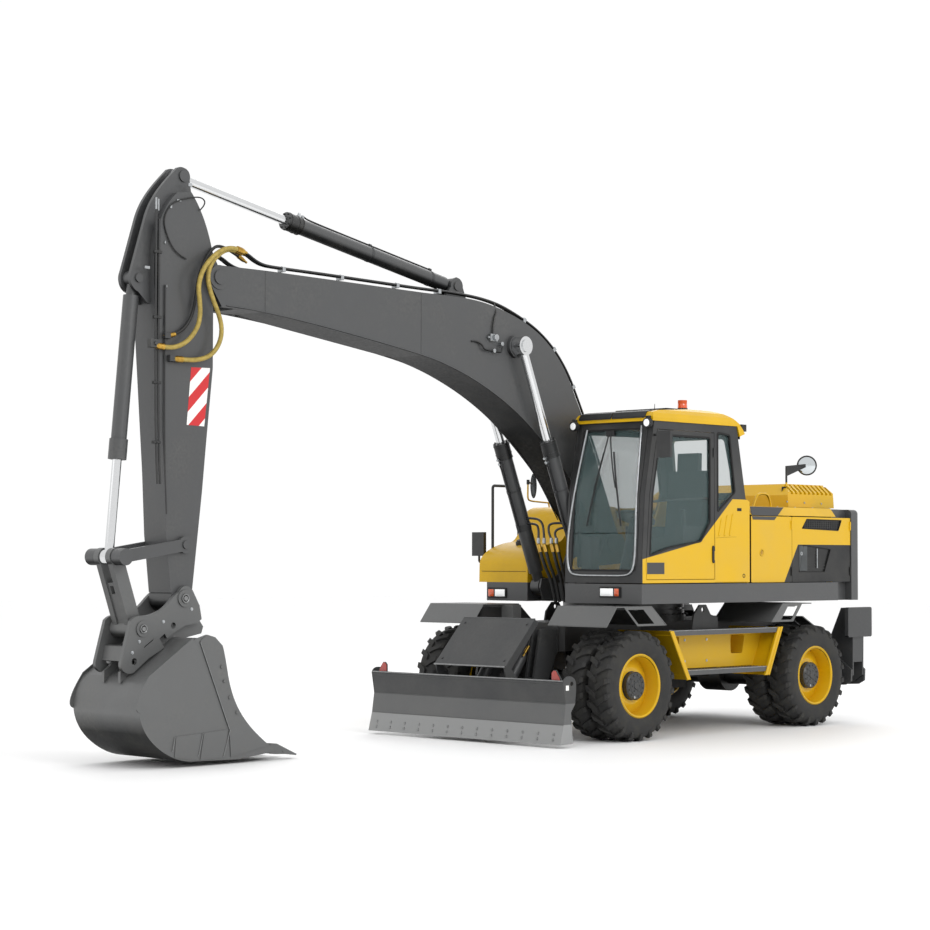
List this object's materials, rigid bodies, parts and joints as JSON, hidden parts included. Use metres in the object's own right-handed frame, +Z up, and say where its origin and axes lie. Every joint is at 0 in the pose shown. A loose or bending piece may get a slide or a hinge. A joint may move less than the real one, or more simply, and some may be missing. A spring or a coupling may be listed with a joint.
{
  "type": "wheeled excavator",
  "caption": "Wheeled excavator with twin tyres, one-piece boom, straight arm and toothed bucket, front dozer blade, rear stabiliser legs, glazed cab and louvred engine hood.",
  "frame": {"origin": "on the ground, under the middle of the box round the whole machine as it stands", "axes": "+X forwards, towards the blade and the bucket; +Y to the machine's left; +Z up"},
  "size_m": [9.241, 2.96, 5.0663],
  "materials": {
    "yellow": "gloss",
    "dark_grey": "satin",
    "tool_grey": "satin",
    "chassis_grey": "satin",
    "cast": "matte",
    "rod_chrome": "polished",
    "tyre": "matte",
    "glass": "polished",
    "trim": "matte",
    "rail": "satin"
  },
  "bodies": {
    "chassis": {"chassis_frame": "chassis_grey", "slew_ring": "chassis_grey", "front_axle": "chassis_grey", "rear_axle": "chassis_grey", "drive_line": "chassis_grey", "side_steps": "yellow", "fenders": "dark_grey", "blade_mount": "chassis_grey", "stabiliser_mount": "chassis_grey"},
    "upper": {"upper_frame": "dark_grey", "counterweight": "yellow", "engine_hood": "yellow", "engine_block": "cast", "side_tank": "yellow", "cab_shell": "yellow", "cab_roof": "trim", "cab_glass": "glass", "cab_interior": "trim", "mirrors_and_rails": "rail", "lamps": "trim"},
    "hood_lid": {"hood_lid": "yellow"},
    "middle_door": {"middle_door_left": "yellow"},
    "rear_door_left": {"rear_door_left": "yellow"},
    "rear_door_right": {"rear_door_right": "yellow"},
    "cab_door": {"cab_door": "yellow", "door_glass": "glass"},
    "boom": {"boom": "dark_grey"},
    "boom_barrels": {"boom_barrels": "dark_grey"},
    "boom_rods": {"boom_rods": "rod_chrome"},
    "arm_barrel": {"arm_barrel": "dark_grey"},
    "arm_rod": {"arm_rod": "rod_chrome"},
    "arm": {"arm": "dark_grey"},
    "bucket_barrel": {"bucket_barrel": "dark_grey"},
    "bucket_rod": {"bucket_rod": "rod_chrome"},
    "rocker": {"rocker": "dark_grey"},
    "bucket_link": {"bucket_link": "tool_grey"},
    "bucket": {"quick_coupler": "tool_grey", "bucket": "tool_grey"},
    "blade": {"blade": "chassis_grey"},
    "blade_barrels": {"blade_barrels": "chassis_grey"},
    "blade_rods": {"blade_rods": "rod_chrome"},
    "knuckle_left": {"knuckle_left": "chassis_grey"},
    "knuckle_right": {"knuckle_right": "chassis_grey"},
    "tie_rod": {"tie_rod": "rod_chrome"},
    "stabiliser_left": {"stabiliser_left": "chassis_grey"},
    "leg_barrel_left": {"leg_barrel_left": "chassis_grey"},
    "leg_rod_left": {"leg_rod_left": "rod_chrome"},
    "wheel_front_left": {"tyres_front_left": "tyre", "rim_front_left": "yellow"},
    "wheel_rear_left": {"tyres_rear_left": "tyre", "rim_rear_left": "yellow"},
    "stabiliser_right": {"stabiliser_right": "chassis_grey"},
    "leg_barrel_right": {"leg_barrel_right": "chassis_grey"},
    "leg_rod_right": {"leg_rod_right": "rod_chrome"},
    "wheel_front_right": {"tyres_front_right": "tyre", "rim_front_right": "yellow"},
    "wheel_rear_right": {"tyres_rear_right": "tyre", "rim_rear_right": "yellow"}
  },
  "joints": [
    {"name": "swing", "type": "hinge", "parent": "chassis", "child": "upper", "pos_m": [-1.8805, 0, 1.3], "axis": [0, 0, 1], "continuous": true},
    {"name": "steer_left", "type": "hinge", "parent": "chassis", "child": "knuckle_left", "pos_m": [-0.6405, 0.785, 0.525], "axis": [0, 0, 1], "range_deg": [-25, 25]},
    {"name": "steer_right", "type": "hinge", "parent": "chassis", "child": "knuckle_right", "pos_m": [-0.6405, -0.785, 0.525], "axis": [0, 0, 1], "range_deg": [-25.02, 25.02]},
    {"name": "tie_rod_slide", "type": "slide", "parent": "chassis", "child": "tie_rod", "axis": [0, 1, 0], "range_m": [-0.06427, 0.06427]},
    {"name": "roll_front_left", "type": "hinge", "parent": "knuckle_left", "child": "wheel_front_left", "pos_m": [-0.6405, 0.979, 0.525], "axis": [0, 1, 0], "continuous": true},
    {"name": "roll_rear_left", "type": "hinge", "parent": "chassis", "child": "wheel_rear_left", "pos_m": [-3.4905, 0.979, 0.525], "axis": [0, 1, 0], "continuous": true},
    {"name": "roll_front_right", "type": "hinge", "parent": "knuckle_right", "child": "wheel_front_right", "pos_m": [-0.6405, -0.979, 0.525], "axis": [0, 1, 0], "continuous": true},
    {"name": "roll_rear_right", "type": "hinge", "parent": "chassis", "child": "wheel_rear_right", "pos_m": [-3.4905, -0.979, 0.525], "axis": [0, 1, 0], "continuous": true},
    {"name": "blade_lift", "type": "hinge", "parent": "chassis", "child": "blade", "pos_m": [-0.1805, 0, 0.52], "axis": [0, -1, 0], "range_deg": [-8, 24]},
    {"name": "blade_barrel_tilt", "type": "hinge", "parent": "chassis", "child": "blade_barrels", "pos_m": [-0.2805, 0, 0.985], "axis": [0, -1, 0], "range_deg": [-3.75, 11.19]},
    {"name": "blade_rod_slide", "type": "slide", "parent": "blade_barrels", "child": "blade_rods", "axis": [0.5951, 0, -0.8037], "range_m": [-0.09567, 0.03256]},
    {"name": "stabiliser_left", "type": "hinge", "parent": "chassis", "child": "stabiliser_left", "pos_m": [-4.2905, 1.06, 0.48], "axis": [-1, 0, 0], "range_deg": [0, 110]},
    {"name": "leg_barrel_tilt_left", "type": "hinge", "parent": "chassis", "child": "leg_barrel_left", "pos_m": [-4.2905, 0.35, 0.985], "axis": [-1, 0, 0], "range_deg": [-0.02, 1.6]},
    {"name": "leg_rod_slide_left", "type": "slide", "parent": "leg_barrel_left", "child": "leg_rod_left", "axis": [0, 0.8949, -0.4462], "range_m": [-0.001, 0.28514]},
    {"name": "stabiliser_right", "type": "hinge", "parent": "chassis", "child": "stabiliser_right", "pos_m": [-4.2905, -1.06, 0.48], "axis": [1, 0, 0], "range_deg": [0, 110]},
    {"name": "leg_barrel_tilt_right", "type": "hinge", "parent": "chassis", "child": "leg_barrel_right", "pos_m": [-4.2905, -0.35, 0.985], "axis": [1, 0, 0], "range_deg": [-0.02, 1.6]},
    {"name": "leg_rod_slide_right", "type": "slide", "parent": "leg_barrel_right", "child": "leg_rod_right", "axis": [0, -0.8949, -0.4462], "range_m": [-0.001, 0.28514]},
    {"name": "boom_lift", "type": "hinge", "parent": "upper", "child": "boom", "pos_m": [-1.6305, -0.15, 1.9], "axis": [0, -1, 0], "range_deg": [-62, 38]},
    {"name": "boom_barrel_tilt", "type": "hinge", "parent": "upper", "child": "boom_barrels", "pos_m": [-1.1205, -0.15, 1.45], "axis": [0, -1, 0], "range_deg": [-60.78, 37.26]},
    {"name": "boom_rod_slide", "type": "slide", "parent": "boom_barrels", "child": "boom_rods", "axis": [0.3782, 0, 0.9257], "range_m": [-0.65784, 0.40358]},
    {"name": "arm_fold", "type": "hinge", "parent": "boom", "child": "arm", "pos_m": [3.5615, -0.15, 4.139], "axis": [0, 1, 0], "range_deg": [-66, 34]},
    {"name": "arm_barrel_tilt", "type": "hinge", "parent": "boom", "child": "arm_barrel", "pos_m": [0.5195, -0.15, 4.344], "axis": [0, 1, 0], "range_deg": [-4.64, 2.4]},
    {"name": "arm_rod_slide", "type": "slide", "parent": "arm_barrel", "child": "arm_rod", "axis": [0.9818, 0, 0.1902], "range_m": [-0.8995, 0.46386]},
    {"name": "bucket_curl", "type": "hinge", "parent": "arm", "child": "bucket", "pos_m": [3.8975, -0.15, 1.392], "axis": [0, 1, 0], "range_deg": [-75, 80]},
    {"name": "rocker_swing", "type": "hinge", "parent": "arm", "child": "rocker", "pos_m": [3.8835, -0.15, 1.843], "axis": [0, 1, 0], "range_deg": [-51.02, 54.42]},
    {"name": "link_swing", "type": "hinge", "parent": "bucket", "child": "bucket_link", "pos_m": [4.3375, -0.15, 1.144], "axis": [0, 1, 0], "range_deg": [-56.02, 52.52]},
    {"name": "bucket_barrel_tilt", "type": "hinge", "parent": "arm", "child": "bucket_barrel", "pos_m": [4.3245, -0.15, 4.075], "axis": [0, 1, 0], "range_deg": [-0.82, 0.77]},
    {"name": "bucket_rod_slide", "type": "slide", "parent": "bucket_barrel", "child": "bucket_rod", "axis": [0.0938, 0, -0.9956], "range_m": [-0.53114, 0.56649]},
    {"name": "cab_door_hinge", "type": "hinge", "parent": "upper", "child": "cab_door", "pos_m": [-1.7945, 1.246, 2.2], "axis": [0, 0, 1], "range_deg": [0, 110]},
    {"name": "middle_door_hinge", "type": "hinge", "parent": "upper", "child": "middle_door", "pos_m": [-3.1195, 1.226, 1.8], "axis": [0, 0, 1], "range_deg": [0, 90]},
    {"name": "rear_door_left_hinge", "type": "hinge", "parent": "upper", "child": "rear_door_left", "pos_m": [-4.1725, 1.226, 1.8], "axis": [0, 0, 1], "range_deg": [0, 100]},
    {"name": "rear_door_right_hinge", "type": "hinge", "parent": "upper", "child": "rear_door_right", "pos_m": [-4.1725, -1.226, 1.8], "axis": [0, 0, -1], "range_deg": [0, 100]},
    {"name": "hood_lid_hinge", "type": "hinge", "parent": "upper", "child": "hood_lid", "pos_m": [-4.2905, 0, 2.278], "axis": [0, -1, 0], "range_deg": [0, 70]}
  ],
  "couplings": [
    {"joint": "steer_right", "follows": "steer_left", "ratio": 1},
    {"joint": "tie_rod_slide", "follows": "steer_left", "m_per_rad": -0.145},
    {"joint": "blade_barrel_tilt", "follows": "blade_lift", "ratio": 0.4656},
    {"joint": "blade_rod_slide", "follows": "blade_lift", "m_per_rad": -0.226},
    {"joint": "leg_barrel_tilt_left", "follows": "stabiliser_left", "ratio": 0.0144},
    {"joint": "leg_rod_slide_left", "follows": "stabiliser_left", "m_per_rad": 0.148},
    {"joint": "leg_barrel_tilt_right", "follows": "stabiliser_right", "ratio": 0.0144},
    {"joint": "leg_rod_slide_right", "follows": "stabiliser_right", "m_per_rad": 0.148},
    {"joint": "boom_barrel_tilt", "follows": "boom_lift", "ratio": 0.98},
    {"joint": "boom_rod_slide", "follows": "boom_lift", "m_per_rad": 0.607},
    {"joint": "arm_barrel_tilt", "follows": "arm_fold", "ratio": 0.07},
    {"joint": "arm_rod_slide", "follows": "arm_fold", "m_per_rad": 0.78},
    {"joint": "rocker_swing", "follows": "bucket_curl", "ratio": 0.68},
    {"joint": "link_swing", "follows": "bucket_curl", "ratio": -0.7},
    {"joint": "bucket_barrel_tilt", "follows": "bucket_curl", "ratio": -0.01},
    {"joint": "bucket_rod_slide", "follows": "bucket_curl", "m_per_rad": 0.405}
  ]
}
